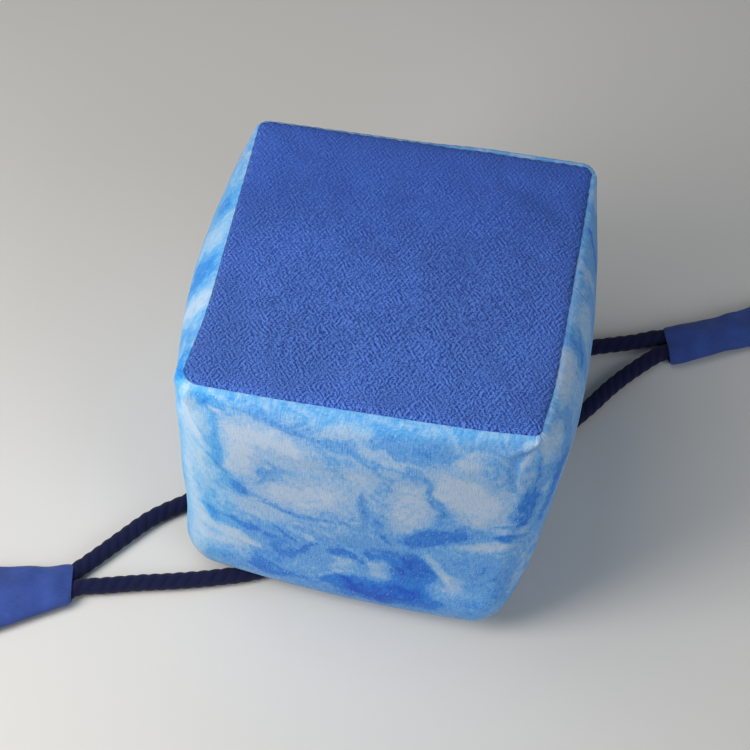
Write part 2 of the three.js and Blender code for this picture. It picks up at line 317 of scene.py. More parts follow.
class Finish:
    """One material and its nodes."""

    def __init__(self, name, **constants):
        self.material = bpy.data.materials.new(name)
        self.material.use_nodes = True
        self.tree = self.material.node_tree
        self.shader = self.tree.nodes["Principled BSDF"]
        for key, value in constants.items():
            self.shader.inputs[key.replace("_", " ")].default_value = value

    def node(self, kind, settings=None, inputs=None, output=0):
        """Adds one shader node: its settings first, then the values or links of its sockets."""
        made = self.tree.nodes.new("ShaderNode" + kind)
        for key, value in (settings or {}).items():
            setattr(made, key, value)
        for key, value in (inputs or {}).items():
            socket = made.inputs[key] if isinstance(key, int) else next(
                s for s in made.inputs if key in (s.identifier, s.name))
            if isinstance(value, Signal):
                self.tree.links.new(value.socket, socket)
            else:
                socket.default_value = value
        return Signal(self, made.outputs[output])

    def feed(self, key, signal):
        self.tree.links.new(signal.socket, self.shader.inputs[key])

    def in_millimetres(self, metres):
        return self.node("VectorMath", {"operation": "SCALE"}, {"Vector": metres, "Scale": 1 / MM})

    def place(self):
        """Object coordinates in millimetres."""
        return self.in_millimetres(self.node("TexCoord", output="Object"))

    def cloth_place(self):
        """The piece's own UV map in millimetres: across the cloth, and down it."""
        return self.in_millimetres(self.node("UVMap", {"uv_map": "cloth"}))

    def attribute(self, name):
        """A number that point_values stored on the piece."""
        return self.node("Attribute", {"attribute_name": name}, output="Fac")

    def noise(self, place, *size, detail=2.0, roughness=0.5, distortion=0.0, output=0):
        """Soft noise about 0.5, from one size of its cells, or three."""
        cells = self.node("Mapping", {"vector_type": "TEXTURE"}, {
            "Vector": place, "Scale": size * (3 // len(size))})
        return self.node("TexNoise", None, {
            "Vector": cells, "Scale": 1.0, "Detail": detail, "Roughness": roughness,
            "Distortion": distortion}, output=output)

    def strayed(self, place, size, reach):
        """A place moved about by soft noise: the size of its cells and how far it moves."""
        stray = self.noise(place, size, detail=1.0, output="Color")
        return self.node("VectorMath", {"operation": "MULTIPLY_ADD"}, {
            0: stray, 1: (reach, reach, reach), 2: place})

    def along(self, place, way):
        """How far a place lies along a way."""
        return self.node("VectorMath", {"operation": "DOT_PRODUCT"}, {0: place, 1: way}, "Value")

    def wave(self, signal):
        return self.node("Math", {"operation": "SINE"}, {0: signal})

    def ribs(self, place, pitch, turn):
        """Parallel ribs between -1 and 1: the distance between them, and which way they follow each other."""
        turn = math.radians(turn)
        step = 2 * math.pi / pitch
        return self.wave(self.along(place, (math.cos(turn) * step, math.sin(turn) * step, 0.0)))

    def ramp(self, signal, low, high, to_low=0.0, to_high=1.0):
        """A smooth step from to_low to to_high as the signal goes from low to high."""
        return self.node("MapRange", {"interpolation_type": "SMOOTHSTEP"}, {
            "Value": signal, "From Min": low, "From Max": high, "To Min": to_low, "To Max": to_high})

    def mix(self, factor, first, second):
        colours = [c if isinstance(c, Signal) else (*c[:3], 1.0) for c in (first, second)]
        return self.node("Mix", {"data_type": "RGBA"}, {
            "Factor_Float": factor, "A_Color": colours[0], "B_Color": colours[1]}, output=MIXED_COLOUR)

    def colours(self, signal, *stops):
        """A colour ramp from stops of a position and a screen colour."""
        made = self.node("ValToRGB", None, {"Fac": signal})
        ramp = made.socket.node.color_ramp
        while len(ramp.elements) < len(stops):
            ramp.elements.new(0.5)
        for element, (position, *colour) in zip(ramp.elements, stops):
            element.position = position
            element.color = (*srgb(*colour), 1.0)
        return made

    def worn(self, colour, height=None, depth=0.0):
        """The material with that colour, and a bump of that depth in millimetres as the height goes to 1."""
        self.feed("Base Color", colour)
        if height is not None:
            self.feed("Normal", self.node("Bump", None, {
                "Height": height, "Strength": 1.0, "Distance": depth * MM}))
        return self.material


def dim(colour, share):
    return tuple(channel * share for channel in colour)


def crepe_finish(colours):
    """Cotton crepe: fine crinkles criss-cross on both diagonals, flatter to the back, over clouds of dye,
    with painted shade between the crinkles, painted highlight on them, and painted shade towards the back.
    """
    finish = Finish("crepe_cloth", Roughness=0.85, Sheen_Weight=0.05, Specular_IOR_Level=0.15)
    place = finish.place()
    near, far = finish.strayed(place, 2.4, 1.7), finish.strayed(place, 3.1, 2.3)
    rising = finish.ribs(near, 0.95, 43) + finish.ribs(far, 1.3, 33)
    falling = finish.ribs(far, 0.95, -21) + finish.ribs(near, 1.35, -33)
    share = finish.ramp(finish.noise(place, 3.4, 3.4, 9, detail=1.0), 0.36, 0.64, 0.35, 0.85)
    calm = finish.ramp(finish.noise(place, 7, detail=1.0), 0.36, 0.62, 0.027, 0.047)
    fine = finish.noise(place, 0.36, 0.36, 2, roughness=0.7)
    towards_back = finish.along(finish.strayed(place, 30, 24), (-0.2, 1.0, 0.0))
    loose = finish.ramp(towards_back, -25, 46, 1.0, 0.32)
    crinkle = (rising * share + falling * (1.2 - share)) * calm + (fine - 0.5) * 0.56
    # The ridge's middle sinks towards the back, so the darker blue shows more there: painted shade.
    ridge = 0.489 + loose * 0.046 + crinkle * loose
    cloud = finish.ramp(finish.noise(place, 22), 0.3, 0.7)
    # The same blue twice: darker between the crinkles as painted shade, lighter on them as painted highlight.
    painted_valley_shade = finish.mix(cloud, dim(colours.crepe_painted_shade, 0.75), dim(colours.crepe_painted_shade, 0.9))
    crown = finish.mix(cloud, dim(colours.crepe, 0.98), dim(colours.crepe, 1.16))
    return finish.worn(
        finish.mix(finish.ramp(ridge, 0.45, 0.61), painted_valley_shade, crown), finish.ramp(ridge, 0.36, 0.7), 0.3)


DYE_FRONTS = 4.5  # how many depths the wet dye settles at, with an edge between one and the next
DYE_EDGE = 0.14  # how sharp those edges are


def tie_dye_finish(colours):
    """Plain-woven cotton, dyed in soft watery blues, each thread taking its own share, with pale slubs. Its
    dye and sky values also carry painted light and painted shade.
    """
    finish = Finish("tie_dyed_cotton", Roughness=0.85, Sheen_Weight=0.1, Specular_IOR_Level=0.2)
    place = finish.place()
    cloth = finish.cloth_place()
    watery = finish.noise(place, 8, detail=3.0, roughness=0.55, distortion=2.2)
    flecks = finish.noise(place, 2.2, detail=3.0, roughness=0.6)
    soaked = finish.attribute("dye") + (watery - 0.5) * 0.44 + (flecks - 0.5) * 0.1
    fronts = finish.wave(soaked * (2 * math.pi * DYE_FRONTS))
    warp = finish.noise(cloth, 0.4, 2.8, 1, detail=1.0)
    weft = finish.noise(cloth, 1.1, 0.5, 1, detail=0.0)
    dye = soaked + fronts * (DYE_EDGE / DYE_FRONTS) + (warp - 0.5) * 0.45 + (weft - 0.5) * 0.25
    deep = finish.colours(
        dye, (0.0, 187, 199, 216), (0.25, 165, 188, 215), (0.48, 110, 164, 217), (0.74, 46, 121, 207),
        (1.0, 16, 78, 188))
    light = finish.colours(
        dye, (0.0, 187, 212, 234), (0.3, 144, 196, 235), (0.55, 88, 174, 233), (0.8, 44, 143, 224),
        (1.0, 26, 114, 212))
    # Where sky is high the blues turn lighter and greener: partly the dye's hue, and on the sides facing the
    # key lamp partly painted light.
    dyed = finish.mix(finish.attribute("sky"), deep, light)
    slub = finish.ramp(finish.noise(cloth, 0.6, 1.0, 1, detail=0.0), 0.76, 0.86)
    slubbed = finish.mix(slub * 0.6, dyed, srgb(226, 232, 242))
    return finish.worn(slubbed, warp * 0.6 + weft * 0.4 + slub * 0.5, 0.2)


def cord_finish(colours):
    """Soft twisted cotton cord: navy, with painted shade where its plies meet, and fibres running along each
    ply.
    """
    finish = Finish("twisted_cord", Roughness=0.95, Sheen_Weight=0.1, Specular_IOR_Level=0.1)
    fibres = finish.noise(finish.cloth_place(), 2.2, 0.3, 1)
    fuzz = finish.noise(finish.place(), 0.5)
    crown = finish.ramp(finish.attribute("crown"), 0.0, 0.8)
    # The grooves between plies are painted darker: painted shade.
    shade = finish.mix(crown, dim(colours.cord, 0.66), colours.cord)
    lit = finish.mix(finish.ramp(fibres, 0.3, 0.75, 0.0, 0.45), shade, dim(colours.cord, 1.8))
    return finish.worn(lit, fibres * 0.6 + fuzz * 0.4, 0.22)


def tab_finish(colours):
    """Plain-woven blue cotton of the tabs."""
    finish = Finish("tab_cloth", Roughness=0.85, Sheen_Weight=0.15, Specular_IOR_Level=0.2)
    cloth = finish.cloth_place()
    warp = finish.noise(cloth, 0.4, 2.2, 1, detail=1.0)
    weft = finish.noise(cloth, 2.2, 0.4, 1, detail=1.0)
    cloud = finish.noise(finish.place(), 8)
    plain = finish.mix(finish.ramp(cloud, 0.3, 0.7), dim(colours.tab, 0.88), dim(colours.tab, 1.1))
    lit = finish.mix(finish.ramp(warp, 0.3, 0.7, 0.0, 0.25), plain, dim(colours.tab, 1.5))
    return finish.worn(lit, warp * 0.5 + weft * 0.5, 0.14)


def floor_finish(colours):
    """Matt pale floor."""
    finish = Finish("pale_floor", Roughness=0.9, Specular_IOR_Level=0.1)
    mottle = finish.noise(finish.place(), 90, detail=3.0)
    return finish.worn(finish.mix(mottle, dim(colours.floor, 0.97), colours.floor))


# ---- cloth and cord shapes


def turned(points, degrees):
    turn = math.radians(degrees)
    cos, sin = math.cos(turn), math.sin(turn)
    return points @ np.array(((cos, sin), (-sin, cos)))


def rounded_square(half_x, half_y, bow, corner, x=0.0, y=0.0, turn=0.0, z=0.0, finer=1):
    """One level's outline as RING points or finer, counter-clockwise from the far left corner."""
    step = np.arange((SIDE_STEPS + CORNER_STEPS) * finer) / finer
    straight = np.minimum(step / SIDE_STEPS, 1)
    bend = np.maximum(step - SIDE_STEPS, 0) / CORNER_STEPS * math.pi / 2
    below_seam = min(z - PANEL_LEVELS[0][1], 0.0)
    near_seam = math.exp(below_seam / SEAM_REACH)
    radii = [max(corner + rounder * near_seam, LEAST_CORNER) for rounder in ROUNDER_CORNERS.values()]
    sides = []
    for quarter, before, radius in zip(QUARTERS, radii[-1:] + radii[:-1], radii):
        along, out = (half_y, half_x) if quarter % 2 else (half_x, half_y)
        run = before - along + straight * (2 * along - before - radius) + radius * np.sin(bend)
        off = radius * (1 - np.cos(bend)) - out
        sides.append(turned(np.column_stack((run, off)), 90 * quarter))
    points = np.concatenate(sides)
    share = points / (half_x, half_y)
    moved = turned(points + bow * (1 - share[:, ::-1] ** 2) * share, turn)
    moved += (PANEL_MIDDLE[0] + x, PANEL_MIDDLE[1] + y)
    shift = np.zeros(moved.shape)
    for pull in PULLS:
        away = np.linalg.norm(moved - (pull["x"], pull["y"]), axis=1)
        share = np.exp(-((away / pull["reach"]) ** 2) + below_seam / PULL_DROP)
        shift += share[:, None] * (pull["over_x"], pull["over_y"])
    return np.column_stack((moved + shift, np.full(len(moved), z)))


def ring_angles():
    """The way each ring point faces from the mouth, so that every side spans a quarter."""
    return (np.arange(RING) - SIDE_STEPS / 2) / RING * 2 * math.pi - math.pi


def disc(radius, z):
    angle = ring_angles()
    return np.column_stack((
        MOUTH_MIDDLE[0] + radius * np.cos(angle), MOUTH_MIDDLE[1] + radius * np.sin(angle), np.full(RING, z)))


def under_ring(z, inset, round, pleat):
    """A level of the underside, between the lowest level's outline and a circle."""
    lowest = BAND_LEVELS[-1]
    half_x, half_y = lowest["half_x"] - inset, lowest["half_y"] - inset
    square = rounded_square(**{**lowest, "half_x": half_x, "half_y": half_y, "z": z})
    return square + (disc((half_x + half_y) / 2, z) - square) * round


def unit(vectors):
    return vectors / np.linalg.norm(vectors, axis=-1, keepdims=True)


def ring_gaps(rows):
    """How far each point of a closed ring is from the next."""
    return np.linalg.norm(np.roll(rows, -1, axis=-2) - rows, axis=-1)


def running(gaps):
    """Distances from the start, from the gaps between points."""
    return np.concatenate(((0.0,), np.cumsum(gaps)))


def smooth_down(rows, values, spacing):
    """A smooth run of rows through the given ones, about spacing apart, and their values beside them."""
    at = running(np.linalg.norm(np.diff(rows, axis=0), axis=2).mean(axis=1))
    slopes = np.gradient(rows, at, axis=0)
    fine = np.concatenate([
        np.linspace(a, b, max(1, round((b - a) / spacing(b))), endpoint=False)
        for a, b in zip(at[:-1], at[1:])] + [at[-1:]])
    k = np.clip(np.searchsorted(at, fine, side="right") - 1, 0, len(at) - 2)
    width = (at[k + 1] - at[k])[:, None, None]
    t = (fine - at[k])[:, None, None] / width
    run = (
        (2 * t**3 - 3 * t**2 + 1) * rows[k] + (t**3 - 2 * t**2 + t) * width * slopes[k]
        + (3 * t**2 - 2 * t**3) * rows[k + 1] + (t**3 - t**2) * width * slopes[k + 1])
    return run, [np.interp(fine, at, v) for v in values], fine


def grid_normals(rows):
    """Outward normals of rows that run down the cloth, each a closed ring counter-clockwise from above."""
    down = np.gradient(rows, axis=0)
    around = np.roll(rows, -1, axis=1) - np.roll(rows, 1, axis=1)
    return unit(np.cross(down, around))


def beside(flat, start, end):
    """Where points are by a line: how far along it, as a share, how far aside, and how far off its ends."""
    way = np.subtract(end, start)
    length = np.linalg.norm(way)
    off = flat - start
    share = (off[..., 0] * way[0] + off[..., 1] * way[1]) / length**2
    aside = (off[..., 1] * way[0] - off[..., 0] * way[1]) / length
    return share, aside, np.maximum(np.abs(share - 0.5) - 0.5, 0) * length


def strand_distance(points):
    """How far each point is from the nearest strand's route, seen from above."""
    nearest = np.full(points.shape[:-1], np.inf)
    for route in STRAND_ROUTES.values():
        for start, end in zip(route, route[1:]):
            _, aside, beyond = beside(points[..., :2], start, end)
            nearest = np.minimum(nearest, np.hypot(aside, beyond))
    return nearest


def smoothstep(value, low, high):
    t = np.clip((value - low) / (high - low), 0, 1)
    return t * t * (3 - 2 * t)


def between(value, comes, goes):
    """A share that comes over one stretch of values and goes over another."""
    return smoothstep(value, *comes) * (1 - smoothstep(value, *goes))


def softly_over(value, floor, softness):
    """The larger of two heights, rounded where they cross."""
    return (value + floor + np.sqrt((value - floor) ** 2 + softness**2)) / 2


def wander(points, size, seed):
    """Smooth noise between -1 and 1 at each point, in cells of one size."""
    flat = points.reshape(-1, 3) / size
    values = [noise.noise(Vector((x + seed, y - seed, z + 2 * seed))) for x, y, z in flat]
    return np.array(values).reshape(points.shape[:-1])


def layered(points, layers):
    """The sum of layers of noise: how strong each is, its size and its seed."""
    return sum(reach * wander(points, size, seed) for reach, size, seed in layers)


def puckers(across, sizes):
    """Waves between 0 and 1 along a seam, one to every pucker."""
    return 0.5 + 0.5 * np.cos(2 * math.pi * across / (sizes.pucker_pitch / MM))


def crease_lift(across, drop):
    """How far the creases raise or lower each point of the band."""
    flat = np.stack((across, drop), axis=-1)
    lift = np.zeros(across.shape)
    for crease in CREASES:
        x0, x1 = (WALL_MIDDLES[crease["wall"]] + crease[end] for end in ("x0", "x1"))
        share, side, _ = beside(flat, (x0, crease["y0"]), (x1, crease["y1"]))
        side -= crease["bend"] * np.sign(x1 - x0) * (1 - (2 * share - 1) ** 2)
        lift += crease["rise"] * np.exp(-((side / crease["width"]) ** 2)) * between(share, *CREASE_FADES)
    return lift


def placed(name, data):
    """A new object in the scene."""
    made = bpy.data.objects.new(name, data)
    bpy.context.scene.collection.objects.link(made)
    return made


def closed_rings(name, rows, loops, cloth_uv=None):
    """A mesh object over rows of rings: its ends join, or each is covered by a fan."""
    count, size = rows.shape[:2]
    mesh = bpy.data.meshes.new(name)
    made = bmesh.new()
    verts = [made.verts.new(point * MM) for point in rows.reshape(-1, 3)]
    layer = made.loops.layers.uv.new("cloth")
    for k in range(count if loops else count - 1):
        for i in range(size):
            corners = ((k, i), (k + 1, i), (k + 1, i + 1), (k, i + 1))
            face = made.faces.new([verts[(row % count) * size + column % size] for row, column in corners])
            if cloth_uv is not None:
                for loop, (row, column) in zip(face.loops, corners):
                    loop[layer].uv = cloth_uv[row % count][column] * MM
    if not loops:
        for row, order in ((0, 1), (count - 1, -1)):
            middle = made.verts.new(rows[row].mean(axis=0) * MM)
            ring = verts[row * size:(row + 1) * size][::order]
            for a, b in zip(ring, ring[1:] + ring[:1]):
                made.faces.new((middle, a, b))
    made.to_mesh(mesh)
    made.free()
    return placed(name, mesh)


def point_values(piece, name, values):
    """Stores one number at each point of a piece, for its finish to read."""
    stored = piece.data.attributes.new(name, "FLOAT", "POINT")
    padded = np.zeros(len(piece.data.vertices), np.float32)
    padded[:values.size] = values.ravel()
    stored.data.foreach_set("value", padded)


def dress(piece, material, node, smooth=40.0):
    """Smooths a piece, gives it its finish and lets it stand for its CAD node."""
    bpy.ops.object.select_all(action="DESELECT")
    bpy.context.view_layer.objects.active = piece
    piece.select_set(True)
    bpy.ops.object.shade_smooth_by_angle(angle=math.radians(smooth))
    piece.data.materials.append(material)
    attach(piece, BODY)
    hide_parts(node)


# Which of four knots each blend of a curve's point lies between, blend after blend.
BLENDS = (((0, 1), (1, 2), (2, 3)), ((0, 2), (1, 3)), ((1, 2),))


def catmull(points, spacing):
    """Points about spacing apart along the centripetal curve through the given ones."""
    ends = (2 * points[0] - points[1], *points, 2 * points[-1] - points[-2])
    run = []
    for four in zip(ends, ends[1:], ends[2:], ends[3:]):
        gaps = np.linalg.norm(np.diff(four, axis=0), axis=1)
        knots = running(np.sqrt(gaps))
        for t in np.linspace(knots[1], knots[2], max(1, round(gaps[1] / spacing)), endpoint=False):
            row = four
            for spans in BLENDS:
                row = [p + (q - p) * (t - knots[i]) / (knots[j] - knots[i])
                       for p, q, (i, j) in zip(row, row[1:], spans)]
            run.append(row[0])
    return np.array([*run, points[-1]])


PLIES = 3
PLY_SHARE = 0.464  # of three round plies in a circle, each one's radius
PRESSED = 0.76  # how far they are pressed into one round section
CORD_SIDES = 36
CORD_STEP = 0.6  # along its line
CORD_END = 0.55  # how much of its radius is left at an end
END_ROUNDS = (-0.4, 1.2)  # how far in it reaches none and all of the rest


def ply_radius(angle, radius):
    """Radius of a twisted cord's section: round plies, pressed together. Also 1 on a ply's crown."""
    off = (angle + math.pi / PLIES) % (2 * math.pi / PLIES) - math.pi / PLIES
    centre = radius * (1 - PLY_SHARE)
    ply = radius * PLY_SHARE
    lobe = centre * np.cos(off) + np.sqrt(np.maximum(ply**2 - (centre * np.sin(off)) ** 2, 0))
    pressed = PRESSED * radius + (1 - PRESSED) * lobe
    return pressed, smoothstep(lobe / radius, 0.55, 1.0)


def line_travel(line):
    return running(np.linalg.norm(np.diff(line, axis=0), axis=1))


def twisted_cord(name, line, diameter):
    """A twisted cord along a line, narrower at its ends."""
    travel = line_travel(line)
    tangent = unit(np.gradient(line, axis=0))
    side = unit(np.cross(tangent, (0, 0, 1)))
    up = np.cross(side, tangent)
    around = np.arange(CORD_SIDES) / CORD_SIDES * 2 * math.pi
    twist = travel[:, None] / TWIST_LAY * 2 * math.pi
    radius, crown = ply_radius(around[None, :] - twist, diameter / 2)
    from_end = np.minimum(travel, travel[-1] - travel)
    radius = radius * (CORD_END + (1 - CORD_END) * smoothstep(from_end, *END_ROUNDS))[:, None]
    rows = (line[:, None, :] + side[:, None, :] * (radius * np.cos(around))[..., None]
            + up[:, None, :] * (radius * np.sin(around))[..., None])
    across = np.arange(CORD_SIDES + 1) / CORD_SIDES * math.pi * diameter
    lean = travel[:, None] / TWIST_LAY * math.pi * diameter
    run = np.broadcast_to(travel[:, None], (len(line), CORD_SIDES + 1))
    uv = np.stack((run, across[None, :] - lean), axis=-1)
    piece = closed_rings(name, rows[:, ::-1], False, uv[:, ::-1])
    # The crown values let the cord's finish paint shade into the grooves between plies.
    point_values(piece, "crown", crown[:, ::-1])
    return piece


# ---- operators

CAMERA_PLACE = (67.36, -401.61, 627.60)
CAMERA_RIGHT = (0.98438, 0.17608, 0.0)
CAMERA_UP = (-0.14431, 0.80677, 0.57297)
CAMERA_ROLL = -0.0068


class BAG_OT_camera(bpy.types.Operator):
    """Set the camera that looks down on the bag from the front"""

    bl_idname = "teaware_bag.camera"
    bl_label = "Camera"

    def execute(self, context):
        data = bpy.data.cameras.new("camera")
        data.sensor_width = 36.0
        data.lens = context.scene.bag_sizes.lens
        data.clip_start = 0.01
        camera = placed("camera", data)
        right, up = Vector(CAMERA_RIGHT), Vector(CAMERA_UP)
        turn = Matrix.Rotation(-CAMERA_ROLL, 3, right.cross(up))
        axes = Matrix((turn @ right, turn @ up, right.cross(up))).transposed()
        camera.matrix_world = Matrix.Translation(Vector(CAMERA_PLACE) * MM) @ axes.to_4x4()
        context.scene.camera = camera
        return {"FINISHED"}


def tab_axes(tab):
    """A tab's mouth, the way it points and the way across it."""
    heading = math.radians(tab["heading"])
    axis = np.array((math.cos(heading), math.sin(heading), 0.0))
    return np.array((*tab["place"], 0.0)), axis, np.array((axis[1], -axis[0], 0.0))


def tab_of(node):
    """The tab that a drawcord strand ends in."""
    return "tab_left" if "left" in node else "tab_right"


def strand_line(node):
    """The line of a drawcord strand: out of the hem, along its route and into its tab."""
    tab = TABS[tab_of(node)]
    mouth, axis, across = tab_axes(tab)
    points = [np.array((x, y, CORD_HEIGHT)) for x, y in STRAND_ROUTES[node]]
    points[0:0] = [points[0] - unit(points[0] - (*MOUTH_MIDDLE, CORD_HEIGHT)) * CORD_IN_HEM]
    lane = math.copysign(CORD_LANE, (points[-1] - mouth) @ across) + tab["sections"][0][3]
    points += [mouth + axis * inside + across * lane + (0, 0, CORD_LIFT) for inside in CORD_IN_TAB]
    return catmull(points, CORD_STEP)


class BAG_OT_cords(bpy.types.Operator):
    """Twist the four drawcord strands along their routes, out of the hem and into the tabs"""

    bl_idname = "teaware_bag.cords"
    bl_label = "Drawcords"

    def execute(self, context):
        diameter = context.scene.bag_sizes.cord_diameter
        material = cord_finish(context.scene.bag_colours)
        for node in STRAND_ROUTES:
            piece = twisted_cord("twisted_" + node, strand_line(node), diameter / MM)
            dress(piece, material, node, smooth=60)
        return {"FINISHED"}


TAB_SIDES = 72
TAB_POWERS = (0.86, 0.95)  # how round its section is, across and up
SLANT_REACH = 9.0  # how far in from its mouth a tab's slant dies away
MOUTH_ROLL = (0.1, 1.6)  # how much the mouth's edge is drawn in, and how far along


class BAG_OT_tabs(bpy.types.Operator):
    """Fold the two cloth tabs round the cord ends"""

    bl_idname = "teaware_bag.tabs"
    bl_label = "Tabs"

    def execute(self, context):
        material = tab_finish(context.scene.bag_colours)
        for node, tab in TABS.items():
            dress(self.folded(node, tab), material, node)
        return {"FINISHED"}

    def folded(self, node, tab):
        mouth, axis, across = tab_axes(tab)
        sections = np.array(tab["sections"], float)
        fine = np.concatenate((np.arange(0, 2, 0.5), np.arange(2, sections[-1, 0], 1.0), sections[-1:, 0]))
        width, thick, over = (np.interp(fine, sections[:, 0], sections[:, k]) for k in (1, 2, 3))
        outer, inner = [], []
        for s, w, t, o in zip(fine, width, thick, over):
            middle = mouth + across * o + axis * s
            slanted = across + axis * tab["slant"] * math.exp(-s / SLANT_REACH)
            outer.append(self.section(middle, slanted, s, w, t))
            inner.append(self.section(middle, slanted, s, w - 2 * TAB_CLOTH, t - 2 * TAB_CLOTH, TAB_CLOTH))
        rows = np.array(inner[-2::-1] + outer)
        rows[..., 2] *= 1 + layered(rows * (1, 1, 0), TAB_UNEVEN)
        across_uv = np.array([running(gaps) for gaps in ring_gaps(rows)])
        down = np.concatenate((-fine[:-1][::-1], fine))[:, None]
        uv = np.stack((across_uv, np.broadcast_to(down, across_uv.shape)), axis=-1)
        return closed_rings("cloth_" + node, rows, False, uv)

    def section(self, middle, across, s, width, thick, lift=0.0):
        """A puffed flat section: wide, domed and round at its edges, and drawn in a little at the mouth."""
        angle = np.arange(TAB_SIDES) / TAB_SIDES * 2 * math.pi
        cos, sin = np.cos(angle), np.sin(angle)
        drawn, reach = MOUTH_ROLL
        rolled = 1 - drawn * max(0.0, 1 - s / reach) ** 2
        wide, high = TAB_POWERS
        out = np.sign(cos) * np.abs(cos) ** wide * width / 2 * rolled
        height = lift + thick / 2 * (1 + np.sign(sin) * np.abs(sin) ** high * rolled)
        return middle + across * out[:, None] + np.array((0, 0, 1)) * height[:, None]


SEAM_ROWS = (4.0, 0.5)  # down to this drop, the band's rows are this far apart
ROW_GAP = 1.05  # and this far below it
INNER_ROWS = slice(8, None, 6)  # the rows that the inner face keeps
PUCKER_DROP = 3.0  # how far down the seam's puckers die away
UNDERSIDE = 8.5  # the arches over the cords stay below this height
ARCH_SOFTNESS = 0.3
PLEAT_SOFTNESS = 0.03


class BAG_OT_band(bpy.types.Operator):
    """Loft the tie-dyed band from the base seam down the walls, under and into the drawn hem"""

    bl_idname = "teaware_bag.band"
    bl_label = "Tie-dyed band"

    def execute(self, context):
        sizes = context.scene.bag_sizes
        rows = [rounded_square(**level) for level in BAND_LEVELS]
        rows += [under_ring(**level) for level in UNDER_LEVELS]
        rows += [disc(level["radius"], level["z"]) for level in HEM_LEVELS]
        levels = BAND_LEVELS + UNDER_LEVELS + HEM_LEVELS
        lift, swell = ([level["pleat"] if level in pleated else 0.0 for level in levels]
                       for pleated in (UNDER_LEVELS, HEM_LEVELS))
        rows, (lift, swell), drop = smooth_down(
            np.array(rows), (lift, swell), lambda drop: SEAM_ROWS[1] if drop < SEAM_ROWS[0] else ROW_GAP)
        normal = grid_normals(rows)
        across = self.across(rows[len(rows) // 4])
        place = np.broadcast_arrays(across, drop[:, None])
        inner = rows - normal * CLOTH
        rows = rows + normal * self.relief(rows, *place, sizes)[..., None]
        rows = self.gathered(rows, lift, swell)
        inner = self.gathered(inner, lift, swell)[INNER_ROWS]
        inner = np.concatenate((rounded_square(**INNER_RIM)[None], inner))
        whole = np.concatenate((rows, inner[::-1]))
        downs = np.concatenate((drop, np.linspace(drop[-1] + 4, drop[-1] + 100, len(inner))))
        uv = np.zeros((len(whole), RING + 1, 2))
        uv[..., 0] = np.append(across, across[0] + 4 * SIDE_WIDTH)
        uv[..., 1] = downs[:, None]
        piece = closed_rings("tie_dyed_band", whole, True, uv)
        for name, base, strength, areas in DYES:
            share = np.full(whole.shape[:2], base)
            share[:len(rows)] += strength * area_share(rows, *place, areas)
            point_values(piece, name, share)
        dress(piece, tie_dye_finish(context.scene.bag_colours), "wall_band")
        return {"FINISHED"}

    def across(self, ring):
        """Cloth distance round the bag, 0 in the middle of the front, measured on one ring."""
        gaps = ring_gaps(ring)
        scaled = running(gaps)[:-1] / gaps.sum() * 4 * SIDE_WIDTH
        middle_of_left = scaled[SIDE_STEPS // 2]
        return scaled - middle_of_left - SIDE_WIDTH

    def relief(self, rows, across, drop, sizes):
        """How far out creases, seam puckers and the soft unevenness of padded cloth move each point."""
        uneven = layered(rows, BAND_UNEVEN) * between(drop, *BAND_FADES)
        draw = sizes.pucker / MM * puckers(across, sizes) * np.exp(-drop / PUCKER_DROP)
        return crease_lift(across, drop) + uneven - draw

    def gathered(self, rows, lift, swell):
        """Adds the pleats of the underside and hem, and the arches over the cords."""
        phase = PLEATS * (ring_angles() + math.pi / 2)
        wave = np.cos(phase)
        pleat = (wave + np.sqrt(wave**2 + PLEAT_SOFTNESS)) / 2
        moved = rows.copy()
        under = rows[..., 2] < UNDERSIDE
        arch = ARCH_ROOF * (1 - smoothstep(strand_distance(rows), ARCH_TOP, ARCH_FOOT))
        raised = moved[..., 2] + lift[:, None] * pleat[None, :]
        arched = softly_over(raised, arch, ARCH_SOFTNESS)
        outside_hem = (swell == 0)[:, None]
        moved[..., 2] = np.where(under & outside_hem & (arch > 0), np.maximum(raised, arched), raised)
        moved[..., 2] = np.maximum(moved[..., 2], 0.0)
        centre = np.array((*MOUTH_MIDDLE, 0.0))
        out = (moved - centre) * (1, 1, 0)
        return moved + out * (swell[:, None] * pleat[None, :])[..., None]
